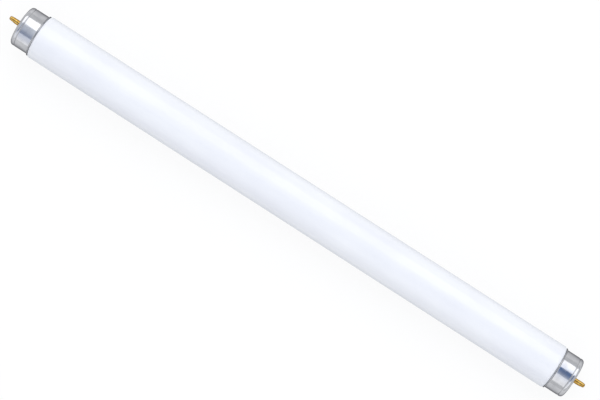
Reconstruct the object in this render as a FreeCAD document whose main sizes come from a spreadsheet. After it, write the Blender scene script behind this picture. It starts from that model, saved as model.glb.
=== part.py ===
# Linear fluorescent lamp, 26 mm tube of the 15 inch size, with a two-pin cap at each end.
# Millimetres. The lamp lies along X with its middle at the origin, and the pins of each cap stand
# one above the other in the XZ plane. An end's own frame has its origin at the cap's front face,
# with +X pointing out of the lamp.
import FreeCAD, Part
import Sketcher
import math
import os
import re

# Driving dimensions, each written once
lampSizes = {
    "faceToFace": 361.2,  # front face of one cap to front face of the other
    # bulb
    "tubeDiameter": 26.0,
    "glassWall": 0.8,
    "shoulderRadius": 1.4,  # outer radius where the tube turns in behind the cap
    "endSpace": 2.9,  # back of the insulator to the glass rim
    "stemBore": 8.4,  # inside of the re-entrant stem, open to the cap
    "stemDepth": 19.0,  # glass rim to the floor of the stem
    "pressLength": 7.0,  # flat pinch that seals the leads
    "pressThickness": 4.4,
    "exhaustDiameter": 4.4,  # tube that the bulb was pumped through, sealed off at its tip
    "exhaustBore": 2.6,
    "exhaustReach": 1.0,  # glass rim to the sealed tip, which stands out past it
    # cap shell
    "capLength": 11.3,
    "capInset": 1.05,  # step from the glass down to the cap's side
    "capWall": 0.3,
    "cornerRadius": 1.7,
    "rimWidth": 0.3,  # flat edge between the round corner and the front opening
    "lipRise": 0.7,  # flared rim that meets the glass
    "lipLength": 0.9,
    "creaseDepth": 0.25,  # rolled ring that locks the insulator
    "creaseWidth": 0.8,
    # insulator and cement
    "discThickness": 1.8,
    "discClearance": 0.05,
    "cementGap": 0.35,  # glass neck to cap, all round
    "cementMargin": 0.4,  # bare neck left at each edge of the cement
    # pins
    "pinSpacing": 12.7,
    "pinDiameter": 2.6,
    "pinLength": 6.6,  # beyond the cap's face
    "pinWall": 0.5,
    "flangeWidth": 0.7,  # holds the pin behind the insulator
    "flangeThickness": 0.4,
    "collarWidth": 0.17,  # bead that the pin is riveted with, in front of the insulator
    "collarThickness": 0.6,
    "tipStep": 0.25,
    "tipTaper": 0.3,
    "tipLength": 1.7,
    # lead wires
    "wireDiameter": 0.5,
    "wireStraight": 1.7,  # back of the pin to where its lead lines up with it
    "wireSetback": 0.1,  # pin's tip to the lead's trimmed end
}

document = FreeCAD.newDocument("fluorescent_tube")
sheet = document.addObject("Spreadsheet::Sheet", "Sizes")
for row, (name, size) in enumerate(lampSizes.items(), start=1):
    sheet.set(f"A{row}", str(size))
    sheet.setAlias(f"A{row}", name)
document.recompute()

# Sizes that follow from the driving ones, as expressions
half = "(faceToFace / 2)"
tubeRadius = "(tubeDiameter / 2)"
capRadius = f"({tubeRadius} - capInset)"
capInside = f"({capRadius} - capWall)"
windowRadius = f"({capRadius} - cornerRadius - rimWidth)"
discBack = "(capWall + discThickness)"
pinRadius = "(pinDiameter / 2)"
pinBack = f"({discBack} + flangeThickness)"
wireRadius = "(wireDiameter / 2)"
glassEnd = f"({discBack} + endSpace)"
neckRadius = f"({capInside} - cementGap)"
stemInside = "(stemBore / 2)"
stemOutside = f"({stemInside} + glassWall)"
stemFloor = f"({glassEnd} + stemDepth)"
pressEnd = f"({stemFloor} + pressLength)"
exhaustRadius = "(exhaustDiameter / 2)"
exhaustInside = "(exhaustBore / 2)"
exhaustTip = f"({glassEnd} - exhaustReach)"

# The lip flares on one arc, tangent to the cap's side, and the glass follows it at the cement gap
lipCurve = "((lipLength ^ 2 + lipRise ^ 2) / (2 * lipRise))"
lipCentre = f"({capRadius} + {lipCurve})"
lipInside = f"({lipCurve} + capWall)"
lipStart = "(capLength - lipLength)"
neckCurve = f"({lipInside} + cementGap)"

# Where the neck's hollow curve runs into the tube's round shoulder, as the turn's cosine and sine
bendCosine = f"(({lipCentre} + shoulderRadius - {tubeRadius}) / ({neckCurve} + shoulderRadius))"
bendSine = f"sqrt(1 - {bendCosine} ^ 2)"
bendPlace = f"({lipStart} + {neckCurve} * {bendSine})"
tubeEnd = f"({bendPlace} + shoulderRadius * {bendSine})"

# The crease is an arc pressed into the wall, and the disc's back stops against it
creaseCurve = "(((creaseWidth / 2) ^ 2 + creaseDepth ^ 2) / (2 * creaseDepth))"
creaseInside = f"({creaseCurve} + capWall)"
creaseHalf = "(creaseWidth / 2)"
creaseHalfInside = f"sqrt({creaseInside} ^ 2 - ({creaseInside} - creaseDepth) ^ 2)"
creasePlace = f"({discBack} + {creaseHalfInside})"


def bound(expression):
    """The expression with each size's name pointing at its cell."""
    def cell(word):
        return "Sizes." + word[0] if word[0] in lampSizes else word[0]
    return re.sub(r"[A-Za-z]+", cell, expression)


def value(expression):
    """What the expression comes to now."""
    return float(sheet.evalExpression(bound(expression)))


def originPlane(body, role):
    return next(plane for plane in body.Origin.OriginFeatures if plane.Role == role)


def newBody(label):
    body = document.addObject("PartDesign::Body", label)
    body.Label = label
    return body


def newSketch(body, name, role):
    sketch = body.newObject("Sketcher::SketchObject", name)
    sketch.AttachmentSupport = [(originPlane(body, role), "")]
    sketch.MapMode = "FlatFace"
    return sketch


def fixPoint(sketch, edge, end, along, outward):
    """Ties one end of an edge to its two expressions."""
    for kind, axis, expression in (("DistanceX", -2, along), ("DistanceY", -1, outward)):
        if expression == "0":
            sketch.addConstraint(Sketcher.Constraint("PointOnObject", edge, end, axis))
            continue
        row = sketch.addConstraint(Sketcher.Constraint(kind, edge, end, value(expression)))
        sketch.setExpression(f"Constraints[{row}]", bound(expression))


def fixRadius(sketch, edge, radius):
    row = sketch.addConstraint(Sketcher.Constraint("Radius", edge, value(radius)))
    sketch.setExpression(f"Constraints[{row}]", bound(radius))


def arcThrough(start, finish, radius, turn):
    """The short arc of that radius from start to finish, turning left for 1 or right for -1."""
    chord = finish - start
    reach = math.sqrt(radius ** 2 - (chord.Length / 2) ** 2)
    side = FreeCAD.Vector(-chord.y, chord.x, 0).normalize() * turn
    centre = (start + finish) / 2 + side * reach
    first, last = (start, finish) if turn > 0 else (finish, start)
    angles = [math.atan2(point.y - centre.y, point.x - centre.x) for point in (first, last)]
    if angles[1] < angles[0]:
        angles[1] += 2 * math.pi
    circle = Part.Circle(centre, FreeCAD.Vector(0, 0, 1), radius)
    return Part.ArcOfCircle(circle, angles[0], angles[1])


def drawOutline(sketch, corners, closed=True):
    """Draws edges through the corners. A corner is (along, outward), and one that starts an arc is
    (along, outward, radius, turn)."""
    origin = sketch.GeometryCount
    points = [FreeCAD.Vector(value(corner[0]), value(corner[1]), 0) for corner in corners]
    count = len(corners) if closed else len(corners) - 1
    ends = []
    for index in range(count):
        start, finish = points[index], points[(index + 1) % len(points)]
        if len(corners[index]) == 2:
            sketch.addGeometry(Part.LineSegment(start, finish))
            ends.append((1, 2))
            continue
        radius, turn = corners[index][2:]
        sketch.addGeometry(arcThrough(start, finish, value(radius), turn))
        ends.append((1, 2) if turn > 0 else (2, 1))
    for index, corner in enumerate(corners[:count]):
        edge = origin + index
        following = (index + 1) % len(corners)
        if following < count:
            joint = ("Coincident", edge, ends[index][1], origin + following, ends[following][0])
            sketch.addConstraint(Sketcher.Constraint(*joint))
        else:
            fixPoint(sketch, edge, ends[index][1], *corners[following][:2])
        fixPoint(sketch, edge, ends[index][0], *corner[:2])
        if len(corner) > 2:
            fixRadius(sketch, edge, corner[2])


def drawCircle(sketch, along, outward, radius):
    centre = FreeCAD.Vector(value(along), value(outward), 0)
    edge = sketch.addGeometry(Part.Circle(centre, FreeCAD.Vector(0, 0, 1), value(radius)))
    fixPoint(sketch, edge, 3, along, outward)
    fixRadius(sketch, edge, radius)


def turned(body, name, corners, feature="PartDesign::Revolution"):
    """Turns the outline about the body's X axis, as material or, for a Groove, as a hollow."""
    sketch = newSketch(body, name + "_outline", "XY_Plane")
    drawOutline(sketch, corners)
    shape = body.newObject(feature, name)
    shape.Profile = sketch
    shape.ReferenceAxis = (sketch, ["H_Axis"])
    shape.Angle = 360
    return shape


def placeAtEnd(body, side, inward="0", height="0", turnOver=False):
    """Stands an end's piece at the right (side 1) or left (side -1) end of the lamp, moved inward
    and up from its cap's face, and turned over about the lamp's axis where that is asked."""
    rotation = FreeCAD.Rotation(FreeCAD.Vector(0, 0, 1), 0 if side > 0 else 180)
    if turnOver:
        rotation = rotation * FreeCAD.Rotation(FreeCAD.Vector(1, 0, 0), 180)
    body.Placement = FreeCAD.Placement(FreeCAD.Vector(0, 0, 0), rotation)
    body.setExpression(".Placement.Base.x", bound(f"{side} * ({half} - {inward})"))
    body.setExpression(".Placement.Base.z", bound(height))


def bothEnds(rightEnd):
    """A closed outline along the whole lamp, from corners that are given as places inward from the
    right cap's face, from the tube to the axis. The left end mirrors the right."""
    right = [(f"{half} - {corner[0]}", *corner[1:]) for corner in rightEnd]
    left = []
    for corner, before in zip(rightEnd[::-1], rightEnd[-2::-1] + [("", "")]):
        left.append((f"{corner[0]} - {half}", corner[1], *before[2:]))
    return right + left


def glassTube():
    """The sealed bulb: tube, necked ends, flared stems, presses and exhaust tubes, all one glass."""
    body = newBody("glass_tube")
    flare = f"({neckRadius} - glassWall - {stemInside})"
    neckEnd = f"({glassEnd} + glassWall)"
    flareEnd = f"({glassEnd} + {flare})"
    tipCentre = f"({exhaustTip} + {exhaustRadius})"
    outside = [
        (tubeEnd, tubeRadius, "shoulderRadius", -1),
        (bendPlace, f"{lipCentre} - {neckCurve} * {bendCosine}", neckCurve, 1),
        (lipStart, neckRadius),
        (neckEnd, neckRadius, "glassWall", -1),
        (glassEnd, f"{neckRadius} - glassWall", flare, -1),
        (flareEnd, stemInside),
        (stemFloor, stemInside),
        (stemFloor, exhaustRadius),
        (tipCentre, exhaustRadius, exhaustRadius, -1),
        (exhaustTip, "0"),
    ]
    turned(body, "glass", bothEnds(outside))
    gasCurve = f"({neckCurve} + glassWall)"
    gasBend = (f"({lipStart} + {gasCurve} * {bendSine})", f"{lipCentre} - {gasCurve} * {bendCosine}")
    gas = [
        (tubeEnd, f"{tubeRadius} - glassWall", "shoulderRadius - glassWall", -1),
        (*gasBend, gasCurve, 1),
        (lipStart, f"{neckRadius} - glassWall"),
        (neckEnd, f"{neckRadius} - glassWall", f"{flare} - glassWall", -1),
        (flareEnd, stemOutside),
        (pressEnd, stemOutside),
        (pressEnd, exhaustInside),
        (tipCentre, exhaustInside, exhaustInside, -1),
        (f"({tipCentre} - {exhaustInside})", "0"),
    ]
    turned(body, "gas_space", bothEnds(gas), "PartDesign::Groove")
    # Each press is pinched flat on both sides
    sketch = newSketch(body, "pinch_outline", "XY_Plane")
    near = f"({stemFloor} + glassWall)"
    far = f"({pressEnd} + glassWall)"
    pinchReach = f"({stemOutside} + glassWall)"
    for end in (1, -1):
        start, stop = (f"{end} * ({half} - {place})" for place in (near, far))
        for side in (1, -1):
            low = f"{side} * pressThickness / 2"
            high = f"{side} * {pinchReach}"
            drawOutline(sketch, [(start, low), (stop, low), (stop, high), (start, high)])
    pinch = body.newObject("PartDesign::Pocket", "pinch")
    pinch.Profile = sketch
    pinch.SideType = "Symmetric"
    pinch.setExpression("Length", bound(f"2 * {pinchReach}"))
    return body


def capShell(side, label):
    """Drawn aluminium cup, open at the glass and windowed at the front."""
    body = newBody(label)
    # The lip is cut square to its curve, so its inner edge stands a little past the outer one
    reach = f"({lipInside} / {lipCurve})"
    lipEdge = (f"-({lipStart} + lipLength * {reach})", f"{lipCentre} - ({lipCurve} - lipRise) * {reach}")
    turned(body, "cup", [
        ("0", windowRadius),
        ("0", f"{capRadius} - cornerRadius", "cornerRadius", 1),
        ("-cornerRadius", capRadius),
        (f"-({creasePlace} - {creaseHalf})", capRadius, creaseCurve, -1),
        (f"-({creasePlace} + {creaseHalf})", capRadius),
        (f"-{lipStart}", capRadius, lipCurve, -1),
        ("-capLength", f"{capRadius} + lipRise"),
        (*lipEdge, lipInside, 1),
        (f"-{lipStart}", capInside),
        (f"-({creasePlace} + {creaseHalfInside})", capInside, creaseInside, 1),
        (f"-({creasePlace} - {creaseHalfInside})", capInside),
        ("-cornerRadius", capInside, "cornerRadius - capWall", -1),
        ("-capWall", f"{capRadius} - cornerRadius"),
        ("-capWall", windowRadius),
    ])
    placeAtEnd(body, side)
    return body


def insulator(side, label):
    """Punched disc behind the window, with a hole for each pin."""
    body = newBody(label)
    edge = f"({capInside} - discClearance)"
    rounding = "(cornerRadius - capWall)"
    turned(body, "disc", [
        (f"-{discBack}", "0"),
        ("-capWall", "0"),
        ("-capWall", f"{edge} - {rounding}", rounding, 1),
        (f"-capWall - {rounding}", edge),
        (f"-{discBack}", edge),
    ])
    sketch = newSketch(body, "pin_hole_outline", "YZ_Plane")
    for level in (1, -1):
        drawCircle(sketch, "0", f"{level} * pinSpacing / 2", pinRadius)
    holes = body.newObject("PartDesign::Pocket", "pin_holes")
    holes.Profile = sketch
    holes.Type = "ThroughAll"
    holes.SideType = "Symmetric"
    placeAtEnd(body, side)
    return body


def contactPin(side, label, level):
    """Hollow drawn pin: flange inside, riveted bead outside, stepped bullet tip with a lead hole."""
    body = newBody(label)
    boreRadius = f"({pinRadius} - pinWall)"
    collarRadius = f"({pinRadius} + collarWidth)"
    collarFront = "(collarThickness - capWall)"
    tipRadius = f"({pinRadius} - tipStep)"
    tipStart = "(pinLength - tipLength)"
    dome = f"({tipRadius} - {wireRadius})"
    turned(body, "pin", [
        (f"-{pinBack}", boreRadius),
        (f"-{pinBack}", f"{pinRadius} + flangeWidth"),
        (f"-{discBack}", f"{pinRadius} + flangeWidth"),
        (f"-{discBack}", pinRadius),
        ("-capWall", pinRadius),
        ("-capWall", collarRadius),
        (f"{collarFront} - collarWidth", collarRadius, "collarWidth", -1),
        (collarFront, pinRadius),
        (tipStart, pinRadius),
        (f"{tipStart} + tipTaper", tipRadius),
        (f"pinLength - {dome}", tipRadius, dome, -1),
        ("pinLength", wireRadius),
        (tipStart, wireRadius),
        (f"{tipStart} - ({boreRadius} - {wireRadius})", boreRadius),
    ])
    placeAtEnd(body, side, height=f"{level} * pinSpacing / 2")
    return body


def cementRing(side, label):
    """Baked cement that holds the cap on the glass neck."""
    body = newBody(label)
    front = f"-({glassEnd} + glassWall + cementMargin)"
    back = f"-({lipStart} - cementMargin)"
    turned(body, "ring", [
        (front, neckRadius),
        (front, capInside),
        (back, capInside),
        (back, neckRadius),
    ])
    placeAtEnd(body, side)
    return body


def leadWire(side, label, level):
    """Lead from the stem's floor to the pin's tip. It starts at the body's own origin plane, runs
    out along the stem, steps outward on two equal arcs and goes down the middle of the pin."""
    body = newBody(label)
    # In the stem the lead runs midway between the exhaust tube and the stem's bore
    start = "((stemBore + exhaustDiameter) / 4)"
    curve = f"((pinSpacing / 2 - {start}) / 2)"
    bendFrom = f"({stemFloor} - {pinBack} - wireStraight - 2 * {curve})"
    spine = newSketch(body, "lead_path", "XZ_Plane")
    drawOutline(spine, [
        ("0", start),
        (bendFrom, start, curve, 1),
        (f"{bendFrom} + {curve}", f"{start} + {curve}", curve, -1),
        (f"{bendFrom} + 2 * {curve}", "pinSpacing / 2"),
        (f"{stemFloor} + pinLength - wireSetback", "pinSpacing / 2"),
    ], closed=False)
    section = newSketch(body, "lead_section", "YZ_Plane")
    drawCircle(section, "0", start, wireRadius)
    lead = body.newObject("PartDesign::AdditivePipe", "lead")
    lead.Profile = section
    lead.Spine = spine
    placeAtEnd(body, side, inward=stemFloor, turnOver=level < 0)
    return body


pieces = [glassTube()]
for side, end in ((-1, "left"), (1, "right")):
    pieces.append(capShell(side, f"{end}_cap_shell"))
    pieces.append(insulator(side, f"{end}_insulator"))
    pieces.append(cementRing(side, f"{end}_cement_ring"))
    for level, place in ((1, "upper"), (-1, "lower")):
        pieces.append(contactPin(side, f"{end}_{place}_pin", level))
        pieces.append(leadWire(side, f"{end}_{place}_lead", level))

document.recompute()

# A failed feature or a bad solid stops the script before anything is written
for item in document.Objects:
    if "Invalid" in item.State or "Error" in item.State:
        raise RuntimeError(f"{item.Label} did not build: {item.State}")
for piece in pieces:
    if piece.Shape.isNull() or not piece.Shape.isValid() or len(piece.Shape.Solids) != 1:
        raise RuntimeError(f"{piece.Label} is not one good solid")

os.makedirs("parts", exist_ok=True)
for piece in pieces:
    piece.Shape.exportStep(f"parts/{piece.Label}.step")
    print(f"{piece.Label}: {piece.Shape.Volume:.1f} mm3")
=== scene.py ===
import bmesh
import bpy
import math
from mathutils import Matrix, Vector


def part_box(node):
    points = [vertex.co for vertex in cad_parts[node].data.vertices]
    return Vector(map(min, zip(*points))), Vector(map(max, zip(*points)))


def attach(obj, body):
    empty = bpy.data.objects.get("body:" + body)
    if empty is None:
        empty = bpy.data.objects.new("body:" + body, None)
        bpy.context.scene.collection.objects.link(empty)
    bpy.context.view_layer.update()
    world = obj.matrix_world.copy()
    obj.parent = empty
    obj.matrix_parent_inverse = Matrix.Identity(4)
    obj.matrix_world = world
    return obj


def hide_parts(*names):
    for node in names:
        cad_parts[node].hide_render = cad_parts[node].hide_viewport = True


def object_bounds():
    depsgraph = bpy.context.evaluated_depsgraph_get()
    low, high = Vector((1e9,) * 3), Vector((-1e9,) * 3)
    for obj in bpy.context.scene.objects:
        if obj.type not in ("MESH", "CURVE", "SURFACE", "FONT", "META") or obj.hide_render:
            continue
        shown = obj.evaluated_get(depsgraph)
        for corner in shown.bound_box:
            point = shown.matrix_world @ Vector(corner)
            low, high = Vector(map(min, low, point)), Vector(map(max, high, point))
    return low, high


# Fluorescent lamp, 26 mm tube of the 15 inch size. Lengths in the settings are millimetres, angles degrees.
# Places at an end are measured in from its cap's front face, and out from the lamp's axis.
mm = 0.001
weldDistance = 0.001 * mm

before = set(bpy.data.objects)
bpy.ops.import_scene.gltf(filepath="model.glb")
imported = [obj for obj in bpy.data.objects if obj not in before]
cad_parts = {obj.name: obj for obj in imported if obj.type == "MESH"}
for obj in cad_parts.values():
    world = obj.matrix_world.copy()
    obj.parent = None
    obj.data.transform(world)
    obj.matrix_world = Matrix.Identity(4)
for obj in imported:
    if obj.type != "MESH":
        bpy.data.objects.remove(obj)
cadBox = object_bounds()
print("frame loaded:", len(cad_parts), "nodes")


# The object that a modelling operator just added, under its own name
def named(name):
    piece = bpy.context.object
    piece.name = name
    piece.data.name = name
    return piece


def selectOnly(piece):
    bpy.ops.object.select_all(action="DESELECT")
    piece.select_set(True)
    bpy.context.view_layer.objects.active = piece


def applyModifier(piece, kind, settings):
    selectOnly(piece)
    bpy.ops.object.modifier_add(type=kind)
    modifier = piece.modifiers[-1]
    for name, value in settings.items():
        setattr(modifier, name, value)
    bpy.ops.object.modifier_apply(modifier=modifier.name)


# Draws a lathe profile as a line of edges, rounds its corners and turns it about the lamp's axis.
# A corner is (place along the lamp, distance from the axis, length of its rounding along each side).
def turnProfile(name, corners, turnSteps, arcSteps):
    bpy.ops.object.select_all(action="DESELECT")
    bpy.ops.mesh.primitive_plane_add(size=mm)
    piece = named(name)
    places = [Vector((along, 0, out)) * mm for along, out, rounding in corners]
    bpy.ops.object.mode_set(mode="EDIT")
    bpy.ops.mesh.select_mode(type="VERT")
    bpy.ops.mesh.select_all(action="SELECT")
    bpy.ops.mesh.merge(type="CENTER")
    bpy.ops.transform.translate(value=places[0])
    for start, end in zip(places, places[1:]):
        bpy.ops.mesh.extrude_region_move(TRANSFORM_OT_translate={"value": end - start})
    for place, (along, out, rounding) in zip(places, corners):
        if rounding:
            bpy.ops.mesh.select_all(action="DESELECT")
            mesh = bmesh.from_edit_mesh(piece.data)
            min(mesh.verts, key=lambda corner: (corner.co - place).length).select = True
            bpy.ops.mesh.bevel(offset=rounding * mm, segments=arcSteps, affect="VERTICES",
                               clamp_overlap=False)
    bpy.ops.mesh.select_all(action="SELECT")
    bpy.ops.mesh.spin(steps=turnSteps, angle=math.tau, center=(0, 0, 0), axis=(1, 0, 0))
    bpy.ops.mesh.select_all(action="SELECT")
    bpy.ops.mesh.remove_doubles(threshold=weldDistance)
    bpy.ops.mesh.normals_make_consistent(inside=False)
    bpy.ops.object.mode_set(mode="OBJECT")
    return piece


# Rounds the edges that are sharper than an angle
def roundEdges(piece, size):
    applyModifier(piece, "BEVEL", {
        "width": size["edgeRounding"] * mm,
        "segments": size["edgeSteps"],
        "limit_method": "ANGLE",
        "angle_limit": math.radians(size["roundedOver"]),
    })


def shadeSmooth(piece, size):
    selectOnly(piece)
    bpy.ops.object.shade_smooth_by_angle(angle=math.radians(size["smoothUnder"]))


def applyPlace(piece):
    selectOnly(piece)
    bpy.ops.object.transform_apply(location=True, rotation=True, scale=True)


# A copy with its own mesh, moved up, or turned half round to the lamp's other end
def copyPiece(piece, name, up=0, otherEnd=False):
    selectOnly(piece)
    bpy.ops.object.duplicate(linked=False)
    copy = named(name)
    bpy.ops.transform.translate(value=(0, 0, up))
    if otherEnd:
        bpy.ops.transform.rotate(value=math.pi, orient_axis="Z", center_override=(0, 0, 0))
    applyPlace(copy)
    return copy


# The finished piece stands for a node of the frame
def stand(piece, node):
    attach(piece, "root")
    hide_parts(node)


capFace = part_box("right_cap_shell")[1].x / mm

# Glass tube: straight bulb, necked in at each end behind its cap, with the open stem and its pumping tube
glassTube = {
    "radius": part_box("glass_tube")[1].z / mm,
    "wall": 0.8,
    "shoulder": 12.2,  # corner of the round shoulder
    "shoulderRounding": 0.88,
    "neckCorner": 11.4,
    "neckRounding": 0.99,
    "neckRadius": 11.3,
    "rim": 5.0,
    "rimRounding": 0.8,
    "stemRadius": 4.2,
    "stemRounding": 5.4,
    "stemFloor": 24.0,
    "pumpRadius": 2.2,
    "pumpTip": 4.0,
    "pumpRoundness": 0.98,  # share of the pump's radius; the rest is a small flat that closes its tip
    "turnSteps": 160,
    "arcSteps": 8,
    "smoothUnder": 40,
}


def makeGlassTube():
    size = glassTube
    corners = [
        (0, size["radius"], 0),
        (capFace - size["shoulder"], size["radius"], size["shoulderRounding"]),
        (capFace - size["neckCorner"], size["neckRadius"], size["neckRounding"]),
        (capFace - size["rim"], size["neckRadius"], size["rimRounding"]),
        (capFace - size["rim"], size["stemRadius"], size["stemRounding"]),
        (capFace - size["stemFloor"], size["stemRadius"], 0),
        (capFace - size["stemFloor"], size["pumpRadius"], 0),
        (capFace - size["pumpTip"], size["pumpRadius"], size["pumpRadius"] * size["pumpRoundness"]),
        (capFace - size["pumpTip"], 0, 0),
    ]
    piece = turnProfile("glassTube", corners, size["turnSteps"], size["arcSteps"])
    applyModifier(piece, "MIRROR", {"merge_threshold": weldDistance})
    applyModifier(piece, "SOLIDIFY", {"thickness": size["wall"] * mm, "offset": -1})
    shadeSmooth(piece, size)
    stand(piece, "glass_tube")
    return piece


# Cap shell: a drawn cup with a windowed front, a rolled crease and a lip that flares to the glass
capShell = {
    "wall": 0.3,
    "sideRadius": 11.95,
    "windowRadius": 9.95,
    "frontRounding": 1.7,
    "crease": 2.66,
    "creaseDepth": 0.28,
    "creaseWidth": 0.66,
    "creaseRounding": 0.13,  # under 0.12 the wall's inside would fold over itself here
    "lipCorner": 11.12,
    "lipRounding": 0.5,
    "lipEdge": 11.3,
    "lipRadius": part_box("right_cap_shell")[1].z / mm,
    "edgeRounding": 0.06,
    "edgeSteps": 2,
    "roundedOver": 50,
    "turnSteps": 160,
    "arcSteps": 7,
    "smoothUnder": 40,
}


def makeCapShells():
    size = capShell
    crease = capFace - size["crease"]
    creaseHalf = size["creaseWidth"] / 2
    corners = [
        (capFace, size["windowRadius"], 0),
        (capFace, size["sideRadius"], size["frontRounding"]),
        (crease + creaseHalf, size["sideRadius"], size["creaseRounding"]),
        (crease, size["sideRadius"] - size["creaseDepth"], size["creaseRounding"]),
        (crease - creaseHalf, size["sideRadius"], size["creaseRounding"]),
        (capFace - size["lipCorner"], size["sideRadius"], size["lipRounding"]),
        (capFace - size["lipEdge"], size["lipRadius"], 0),
    ]
    right = turnProfile("rightCapShell", corners, size["turnSteps"], size["arcSteps"])
    applyModifier(right, "SOLIDIFY", {"thickness": size["wall"] * mm, "offset": -1})
    roundEdges(right, size)
    shadeSmooth(right, size)
    left = copyPiece(right, "leftCapShell", otherEnd=True)
    stand(right, "right_cap_shell")
    stand(left, "left_cap_shell")
    return [right, left]


# Contact pin: hollow, flanged behind the insulator and riveted over in front of it, with a bullet tip
contactPin = {
    "radius": 1.3,
    "bore": 0.8,
    "flangeRadius": 2.0,
    "flangeBack": 2.5,
    "flangeFront": 2.1,
    "beadBack": 0.3,
    "beadFront": -0.3,  # a place below nought stands out past the cap's face
    "beadRadius": 1.47,
    "beadRounding": 0.16,
    "step": -4.9,
    "stepEnd": -5.2,
    "stepRounding": 0.12,
    "tipRadius": 1.18,
    "tipRounding": 0.85,
    "tip": -6.6,
    "wireHole": 0.25,
    "edgeRounding": 0.08,
    "turnSteps": 72,
    "arcSteps": 6,
    "smoothUnder": 32,
}


def makeContactPins():
    size = contactPin
    boreEnd = size["step"] + size["bore"] - size["wireHole"]  # from here a cone of 45 degrees closes it
    corners = [(capFace - inward, out, rounding) for inward, out, rounding in (
        (size["flangeBack"], size["bore"], 0),
        (size["flangeBack"], size["flangeRadius"], size["edgeRounding"]),
        (size["flangeFront"], size["flangeRadius"], size["edgeRounding"]),
        (size["flangeFront"], size["radius"], 0),
        (size["beadBack"], size["radius"], 0),
        (size["beadBack"], size["beadRadius"], 0),
        (size["beadFront"], size["beadRadius"], size["beadRounding"]),
        (size["beadFront"], size["radius"], 0),
        (size["step"], size["radius"], size["stepRounding"]),
        (size["stepEnd"], size["tipRadius"], size["stepRounding"]),
        (size["tip"], size["tipRadius"], size["tipRounding"]),
        (size["tip"], size["wireHole"], 0),
        (size["step"], size["wireHole"], 0),
        (boreEnd, size["bore"], 0),
        (size["flangeBack"], size["bore"], 0),
    )]
    low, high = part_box("right_upper_pin")
    height = (low.z + high.z) / 2
    rightUpper = turnProfile("rightUpperPin", corners, size["turnSteps"], size["arcSteps"])
    shadeSmooth(rightUpper, size)
    rightLower = copyPiece(rightUpper, "rightLowerPin", up=-height)
    leftUpper = copyPiece(rightUpper, "leftUpperPin", up=height, otherEnd=True)
    leftLower = copyPiece(rightLower, "leftLowerPin", otherEnd=True)
    selectOnly(rightUpper)
    bpy.ops.transform.translate(value=(0, 0, height))
    applyPlace(rightUpper)
    stand(rightUpper, "right_upper_pin")
    stand(rightLower, "right_lower_pin")
    stand(leftUpper, "left_upper_pin")
    stand(leftLower, "left_lower_pin")
    return [rightUpper, rightLower, leftUpper, leftLower]


# Insulator: a disc punched from laminated board, its front edge rounded to the cap, with two pin holes
insulator = {
    "radius": 11.6,
    "front": 0.3,
    "back": 2.1,
    "frontRounding": 1.4,
    "roundingSteps": 6,
    "holeRadius": contactPin["radius"],
    "holeSteps": 48,
    "punchLength": 7.2,  # right through the disc, and well past it
    "edgeRounding": 0.06,
    "edgeSteps": 2,
    "roundedOver": 60,
    "turnSteps": 128,
    "smoothUnder": 32,
}


def makeInsulators():
    size = insulator
    middle = (capFace - (size["front"] + size["back"]) / 2) * mm
    bpy.ops.object.select_all(action="DESELECT")
    bpy.ops.mesh.primitive_cylinder_add(
        vertices=size["turnSteps"], radius=size["radius"] * mm, depth=(size["back"] - size["front"]) * mm,
        location=(middle, 0, 0), rotation=(0, math.pi / 2, 0))
    right = named("rightInsulator")
    applyPlace(right)
    bpy.ops.object.mode_set(mode="EDIT")
    bpy.ops.mesh.select_mode(type="FACE")
    bpy.ops.mesh.select_all(action="DESELECT")
    mesh = bmesh.from_edit_mesh(right.data)
    max(mesh.faces, key=lambda face: face.calc_center_median().x).select = True
    bpy.ops.mesh.bevel(offset=size["frontRounding"] * mm, segments=size["roundingSteps"], affect="EDGES")
    bpy.ops.object.mode_set(mode="OBJECT")
    for pin in ("right_upper_pin", "right_lower_pin"):
        low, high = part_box(pin)
        bpy.ops.mesh.primitive_cylinder_add(
            vertices=size["holeSteps"], radius=size["holeRadius"] * mm, depth=size["punchLength"] * mm,
            location=(middle, 0, (low.z + high.z) / 2), rotation=(0, math.pi / 2, 0))
        punch = named("pinHolePunch")
        applyModifier(right, "BOOLEAN", {"operation": "DIFFERENCE", "object": punch, "solver": "EXACT"})
        bpy.data.objects.remove(punch)
    roundEdges(right, size)
    shadeSmooth(right, size)
    left = copyPiece(right, "leftInsulator", otherEnd=True)
    stand(right, "right_insulator")
    stand(left, "left_insulator")
    return [right, left]


glass = makeGlassTube()
print("glass tube modelled")
caps = makeCapShells()
print("cap shells modelled")
pins = makeContactPins()
print("contact pins modelled")
boards = makeInsulators()
print("insulators modelled")


def toLinear(hexCode):
    channels = [int(hexCode[i:i + 2], 16) / 255 for i in (1, 3, 5)]
    return [c / 12.92 if c <= 0.04045 else ((c + 0.055) / 1.055) ** 2.4 for c in channels] + [1.0]


# Adds a node with its settings and links. Each goes to an attribute, or to a socket by its name or number:
# a node or another node's socket is linked there, and a hex code becomes its colour.
def addNode(tree, kind, settings=None):
    node = tree.nodes.new(kind)
    for name, value in (settings or {}).items():
        if isinstance(value, bpy.types.Node):
            value = value.outputs[0]
        if isinstance(value, bpy.types.NodeSocket):
            tree.links.new(value, node.inputs[name])
        elif isinstance(name, str) and hasattr(node, name):
            setattr(node, name, value)
        else:
            node.inputs[name].default_value = toLinear(value) if isinstance(value, str) else value
    return node


def newMaterial(name):
    material = bpy.data.materials.new(name)
    material.use_nodes = True
    material.node_tree.nodes.clear()
    return material, material.node_tree


noiseMiddle = {"From Min": 0.35, "From Max": 0.65}  # most of a noise lies in this range, spread out to 0 to 1
colourMix = {"data_type": "RGBA"}
mixShare, mixFirst, mixSecond, mixResult = 0, 6, 7, 2  # sockets of a colour mix


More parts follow.
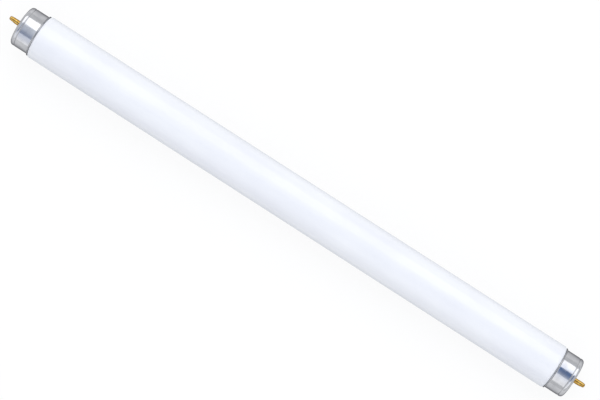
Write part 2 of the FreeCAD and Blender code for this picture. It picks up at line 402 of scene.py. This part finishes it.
# Noise with features of about that many millimetres, drawn out along an axis where its stretch is small
def addPattern(tree, featureSize, detail=2, stretch=(1, 1, 1)):
    place = addNode(tree, "ShaderNodeTexCoord").outputs["Object"]
    mapping = addNode(tree, "ShaderNodeMapping", {"Vector": place, "Scale": stretch})
    return addNode(tree, "ShaderNodeTexNoise", {
        "Vector": mapping, "Scale": 1 / (featureSize * mm), "Detail": detail})


# One colour laid over another as the pattern grows stronger, up to a share of it
def addTint(tree, pattern, under, over, most=1.0):
    amount = addNode(tree, "ShaderNodeMapRange", {**noiseMiddle, "Value": pattern, "To Max": most})
    return addNode(tree, "ShaderNodeMix", {
        **colourMix, mixShare: amount, mixFirst: under, mixSecond: over}).outputs[mixResult]


# The material's shader and output, with a roughness that goes from one value to the other by the pattern
def addSurface(tree, pattern, roughness, settings):
    rough = addNode(tree, "ShaderNodeMapRange", {
        **noiseMiddle, "Value": pattern, "To Min": roughness[0], "To Max": roughness[1]})
    shader = addNode(tree, "ShaderNodeBsdfPrincipled", {**settings, "Roughness": rough})
    addNode(tree, "ShaderNodeOutputMaterial", {"Surface": shader})


coatedGlass = {
    "thickPowder": "#eff0f2",
    "thinPowder": "#e9eaee",
    "cloud": 14,  # the powder settles in soft clouds, drawn out along the tube
    "cloudStretch": (0.35, 1, 1),
    "runMark": 2.4,  # width of the marks that it leaves as it runs down the upright tube
    "runStretch": (0.02, 1, 1),
    "runShare": 0.35,
    "grain": 0.35,  # powder grains are far finer: drawn this coarse so that they show
    "grainDepth": 0.01,
    "roughness": (0.75, 0.95),
    "outlineShadeColour": "#d5d8de",  # painted shade towards the outline; in part it stands for light lost in the clear wall seen edge-on
    "outlineShadeFrom": 0.5,
    "outlineShadeTo": 0.85,
}


# Drawn soda-lime glass, coated inside with white powder: an even matt white under a clear gloss, greyed
# towards the outline as painted shade
def makeCoatedGlass():
    size = coatedGlass
    material, tree = newMaterial("coatedSodaLimeGlass")
    clouds = addPattern(tree, size["cloud"], detail=3, stretch=size["cloudStretch"])
    powder = addTint(tree, clouds, size["thinPowder"], size["thickPowder"])
    runs = addPattern(tree, size["runMark"], stretch=size["runStretch"])
    marked = addTint(tree, runs, powder, size["thinPowder"], size["runShare"])
    # Painted shade: the powder's colour turns grey where the surface faces away from the view, towards the
    # outline
    facing = addNode(tree, "ShaderNodeLayerWeight", {"Blend": 0.5}).outputs["Facing"]
    edge = addNode(tree, "ShaderNodeMapRange", {
        "Value": facing, "From Min": size["outlineShadeFrom"], "From Max": size["outlineShadeTo"]})
    outlineShaded = addNode(tree, "ShaderNodeMix", {
        **colourMix, mixShare: edge, mixFirst: marked, mixSecond: size["outlineShadeColour"]}).outputs[mixResult]
    grain = addPattern(tree, size["grain"])
    grainy = addNode(tree, "ShaderNodeBump", {
        "Height": grain, "Distance": size["grainDepth"] * mm, "Strength": 0.4})
    addSurface(tree, grain, size["roughness"], {
        "Base Color": outlineShaded, "Normal": grainy, "IOR": 1.5, "Specular IOR Level": 0.0,
        "Coat Weight": 0.8, "Coat Roughness": 0.12, "Coat IOR": 1.5})
    return material


drawnAluminium = {
    "bright": "#c6c7ca",
    "dull": "#b8b9bd",
    "outlineShadeTint": (0.22, 0.22, 0.23, 1),  # seen along the surface it mirrors far less
    # painted shade: the mirror is darkened towards the outline, standing in for dark surroundings it would
    # mirror there
    "smudge": 4.5,
    "roughness": (0.17, 0.1),
    "drawLine": 0.12,  # the die's lines along the cup's side are finer: drawn this coarse so that they show
    "drawLineStretch": (0.006, 1, 1),
    "drawLineDepth": 0.0015,
    "ripple": 3.0,  # the thin wall isn't quite true
    "rippleDepth": 0.012,
}


# Deep-drawn aluminium sheet, polished in the die: a soft mirror with lengthwise lines and faint smudges, its
# reflection darkened towards the outline by painted shade
def makeDrawnAluminium():
    size = drawnAluminium
    material, tree = newMaterial("drawnAluminium")
    smudges = addPattern(tree, size["smudge"], detail=4)
    colour = addTint(tree, smudges, size["dull"], size["bright"])
    ripples = addPattern(tree, size["ripple"], detail=1)
    wavy = addNode(tree, "ShaderNodeBump", {
        "Height": ripples, "Distance": size["rippleDepth"] * mm, "Strength": 1.0})
    lines = addPattern(tree, size["drawLine"], stretch=size["drawLineStretch"])
    lined = addNode(tree, "ShaderNodeBump", {
        "Height": lines, "Distance": size["drawLineDepth"] * mm, "Strength": 0.6, "Normal": wavy})
    addSurface(tree, smudges, size["roughness"], {
        # The Specular Tint carries the painted shade at the outline
        "Base Color": colour, "Normal": lined, "Metallic": 1.0, "Specular Tint": size["outlineShadeTint"]})
    return material


drawnBrass = {
    "bright": "#cfad64",
    "tarnished": "#a47c34",
    # painted shade: the mirror turns dark brown towards the outline, standing in for dark surroundings it
    # would mirror there
    "outlineShadeTint": (0.06, 0.03, 0.01, 1),
    "tarnish": 1.6,
    "roughness": (0.14, 0.08),
    "drawLine": 0.08,  # coarser than the tube's real lines, so that they show
    "drawLineStretch": (0.02, 1, 1),
    "drawLineDepth": 0.001,
}


# Drawn brass tube, bright dipped: a warm mirror with fine lengthwise lines and light tarnish in patches, its
# reflection darkened towards the outline by painted shade
def makeDrawnBrass():
    size = drawnBrass
    material, tree = newMaterial("drawnBrass")
    patches = addPattern(tree, size["tarnish"], detail=4)
    colour = addTint(tree, patches, size["tarnished"], size["bright"])
    lines = addPattern(tree, size["drawLine"], stretch=size["drawLineStretch"])
    lined = addNode(tree, "ShaderNodeBump", {
        "Height": lines, "Distance": size["drawLineDepth"] * mm, "Strength": 0.6})
    addSurface(tree, patches, size["roughness"], {
        # The Specular Tint carries the painted shade at the outline
        "Base Color": colour, "Normal": lined, "Metallic": 1.0, "Specular Tint": size["outlineShadeTint"]})
    return material


phenolicBoard = {
    "resin": "#3d2716",
    "fibre": "#6b4a2e",
    "fibreWidth": 0.16,  # paper fibres are finer: drawn this coarse so that they show
    "fibreStretch": (1, 1, 0.12),
    "fibreDepth": 0.01,
    "roughness": (0.38, 0.6),
    "blotch": 2.5,
    "blotchShare": 0.6,
}


# Paper laminate pressed in phenolic resin: dark brown, with paler fibres that lie one way and a dull sheen
def makePhenolicBoard():
    size = phenolicBoard
    material, tree = newMaterial("phenolicPaperBoard")
    fibres = addPattern(tree, size["fibreWidth"], detail=3, stretch=size["fibreStretch"])
    weave = addTint(tree, fibres, size["resin"], size["fibre"])
    blotches = addPattern(tree, size["blotch"], detail=3)
    blotched = addTint(tree, blotches, weave, size["resin"], size["blotchShare"])
    fibrous = addNode(tree, "ShaderNodeBump", {
        "Height": fibres, "Distance": size["fibreDepth"] * mm, "Strength": 0.5})
    addSurface(tree, fibres, size["roughness"], {"Base Color": blotched, "Normal": fibrous, "IOR": 1.6})
    return material


bakedCement = {
    "sand": "#8f8369",
    "pore": "#5f5644",
    "grain": 0.4,
    "grainDepth": 0.05,
    "lump": 1.8,
    "lumpDepth": 0.1,
    "roughness": (0.85, 0.98),
}


# Capping cement, baked hard: matt and sandy, with dark pores
def makeBakedCement():
    size = bakedCement
    material, tree = newMaterial("bakedCappingCement")
    grain = addPattern(tree, size["grain"], detail=4)
    colour = addTint(tree, grain, size["pore"], size["sand"])
    lumps = addPattern(tree, size["lump"])
    lumpy = addNode(tree, "ShaderNodeBump", {
        "Height": lumps, "Distance": size["lumpDepth"] * mm, "Strength": 1.0})
    sandy = addNode(tree, "ShaderNodeBump", {
        "Height": grain, "Distance": size["grainDepth"] * mm, "Strength": 0.8, "Normal": lumpy})
    addSurface(tree, lumps, size["roughness"], {"Base Color": colour, "Normal": sandy, "IOR": 1.5})
    return material


tinnedWire = {
    "bright": "#bdb9b2",
    "dull": "#98928a",
    "dip": 0.8,  # size of the runs that the tin leaves
    "roughness": (0.42, 0.25),
    "drawLine": 0.05,  # coarser than the wire's real lines, so that they show
    "drawLineStretch": (0.03, 1, 1),
    "drawLineDepth": 0.002,
}


# Copper-clad wire, hot tinned: silvery, a little uneven where the tin ran
def makeTinnedWire():
    size = tinnedWire
    material, tree = newMaterial("tinnedLeadWire")
    dips = addPattern(tree, size["dip"], detail=3)
    colour = addTint(tree, dips, size["dull"], size["bright"])
    lines = addPattern(tree, size["drawLine"], stretch=size["drawLineStretch"])
    lined = addNode(tree, "ShaderNodeBump", {
        "Height": lines, "Distance": size["drawLineDepth"] * mm, "Strength": 0.5})
    addSurface(tree, dips, size["roughness"], {"Base Color": colour, "Normal": lined, "Metallic": 1.0})
    return material


def dress(pieces, material):
    for piece in pieces:
        piece.data.materials.clear()
        piece.data.materials.append(material)


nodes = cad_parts
dress([glass], makeCoatedGlass())
dress(caps, makeDrawnAluminium())
dress(pins, makeDrawnBrass())
dress(boards, makePhenolicBoard())
dress([nodes["left_cement_ring"], nodes["right_cement_ring"]], makeBakedCement())
dress([nodes[f"{end}_{level}_lead"] for end in ("left", "right") for level in ("upper", "lower")],
      makeTinnedWire())
print("materials assigned")

# Camera, nearly straight above, turned so that the lamp runs from upper left to lower right
cameraView = {
    "place": (34.24, -32.52, 1241.87),
    "turn": (2.152, 0.421, 32.741),
    "lens": 135.31,
    "sensor": 36,
}


def placeCamera():
    camera = bpy.data.cameras.new("photoCamera")
    camera.lens = cameraView["lens"]
    camera.sensor_width = cameraView["sensor"]
    holder = bpy.data.objects.new("photoCamera", camera)
    holder.location = Vector(cameraView["place"]) * mm
    holder.rotation_euler = [math.radians(angle) for angle in cameraView["turn"]]
    bpy.context.scene.collection.objects.link(holder)
    bpy.context.scene.camera = holder


# Studio: a white table and a pale sky with a blue-grey gap between two long softboxes. A softbox stands
# that many degrees from upright, toward +Y or -Y, and is twisted about the line to the lamp.
studio = {
    "tableSize": 12000,
    "tableOwnLight": 0.88,  # share of the table that shows plain white; the rest takes the lamp's shadow
    "tablePaper": "#fbfbfb",
    "tableBounce": "#cccccc",  # what the table throws back at the lamp
    "horizon": (0.833, 0.838, 0.847, 1),
    "upperSky": (0.943, 1.0, 1.10, 1),
    "skyPower": 5,
    "gap": (0.1, 0.195, 0.43, 1),
    "gapTurn": -67.5,  # the way straight across the gap, from +Y toward +X
    "gapPlace": -0.105,  # along that way, where 0 is overhead and 1 the horizon
    "gapWidth": 0.215,  # in the same measure
    "boxDistance": 1500,
    "boxColour": (1, 0.985, 0.965),
}
softboxes = {
    "keyBox": {"turn": 39, "twist": 8.6, "size": (2600, 1197), "radiance": 1.26},
    "fillBox": {"turn": -52.8, "twist": 32.9, "size": (2600, 1110), "radiance": 0.6},
}


def addTable():
    bpy.ops.mesh.primitive_plane_add(size=studio["tableSize"] * mm, location=(0, 0, cadBox[0].z))
    table = named("whiteTable")
    material, tree = newMaterial("whiteTable")
    ray = addNode(tree, "ShaderNodeLightPath").outputs
    looked = addNode(tree, "ShaderNodeMath", {
        "operation": "MAXIMUM", 0: ray["Is Camera Ray"], 1: ray["Is Glossy Ray"]})
    seen = addNode(tree, "ShaderNodeMath", {"operation": "MAXIMUM", 0: looked, 1: ray["Is Transmission Ray"]})
    tone = addNode(tree, "ShaderNodeMix", {
        **colourMix, mixShare: seen, mixFirst: studio["tableBounce"], mixSecond: studio["tablePaper"]})
    paper = addNode(tree, "ShaderNodeBsdfDiffuse", {"Color": tone.outputs[mixResult]})
    glow = addNode(tree, "ShaderNodeEmission", {"Color": (1, 1, 1, 1), "Strength": 1.0})
    ownLight = addNode(tree, "ShaderNodeMath", {
        "operation": "MULTIPLY", 0: seen, 1: studio["tableOwnLight"]})
    surface = addNode(tree, "ShaderNodeMixShader", {0: ownLight, 1: paper, 2: glow})
    addNode(tree, "ShaderNodeOutputMaterial", {"Surface": surface})
    dress([table], material)


# The open sky shades from the horizon up to the zenith, and the gap is a soft band across it
def addSky():
    world = bpy.data.worlds.new("studioSky")
    bpy.context.scene.world = world
    world.use_nodes = True
    tree = world.node_tree
    tree.nodes.clear()
    direction = addNode(tree, "ShaderNodeTexCoord").outputs["Generated"]
    turn = math.radians(studio["gapTurn"])
    across = addNode(tree, "ShaderNodeVectorMath", {
        "operation": "DOT_PRODUCT", 0: direction, 1: (math.sin(turn), math.cos(turn), 0)}).outputs["Value"]
    aside = addNode(tree, "ShaderNodeMath", {"operation": "SUBTRACT", 0: across, 1: studio["gapPlace"]})
    inWidths = addNode(tree, "ShaderNodeMath", {"operation": "DIVIDE", 0: aside, 1: studio["gapWidth"]})
    squared = addNode(tree, "ShaderNodeMath", {"operation": "POWER", 0: inWidths, 1: 2})
    falling = addNode(tree, "ShaderNodeMath", {"operation": "MULTIPLY", 0: squared, 1: -1})
    bell = addNode(tree, "ShaderNodeMath", {"operation": "POWER", 0: math.e, 1: falling})
    height = addNode(tree, "ShaderNodeSeparateXYZ", {0: direction}).outputs["Z"]
    above = addNode(tree, "ShaderNodeMath", {"operation": "MAXIMUM", 0: height, 1: 0})
    climb = addNode(tree, "ShaderNodeMath", {"operation": "POWER", 0: above, 1: studio["skyPower"]})
    openSky = addNode(tree, "ShaderNodeMix", {
        **colourMix, mixShare: climb, mixFirst: studio["horizon"], mixSecond: studio["upperSky"]})
    gapShare = addNode(tree, "ShaderNodeMath", {"operation": "MULTIPLY", 0: bell, 1: above})
    colour = addNode(tree, "ShaderNodeMix", {
        **colourMix, mixShare: gapShare, mixFirst: openSky.outputs[mixResult], mixSecond: studio["gap"]})
    sky = addNode(tree, "ShaderNodeBackground", {"Color": colour.outputs[mixResult], "Strength": 1.0})
    addNode(tree, "ShaderNodeOutputWorld", {"Surface": sky})


def addSoftbox(name, box):
    lamp = bpy.data.lights.new(name, "AREA")
    lamp.shape = "RECTANGLE"
    lamp.size, lamp.size_y = (side * mm for side in box["size"])
    lamp.color = studio["boxColour"]
    lamp.energy = box["radiance"] * math.pi * lamp.size * lamp.size_y
    holder = bpy.data.objects.new(name, lamp)
    turn = math.radians(box["turn"])
    holder.location = Vector((0, math.sin(turn), math.cos(turn))) * studio["boxDistance"] * mm
    facing = (-holder.location).to_track_quat("-Z", "Y").to_matrix()
    twist = Matrix.Rotation(math.radians(box["twist"]), 3, "Z")
    holder.rotation_euler = (facing @ twist).to_euler()
    bpy.context.scene.collection.objects.link(holder)


placeCamera()
addTable()
addSky()
for name, box in softboxes.items():
    addSoftbox(name, box)
bpy.context.scene.view_settings.view_transform = "Standard"
print("camera and studio placed")
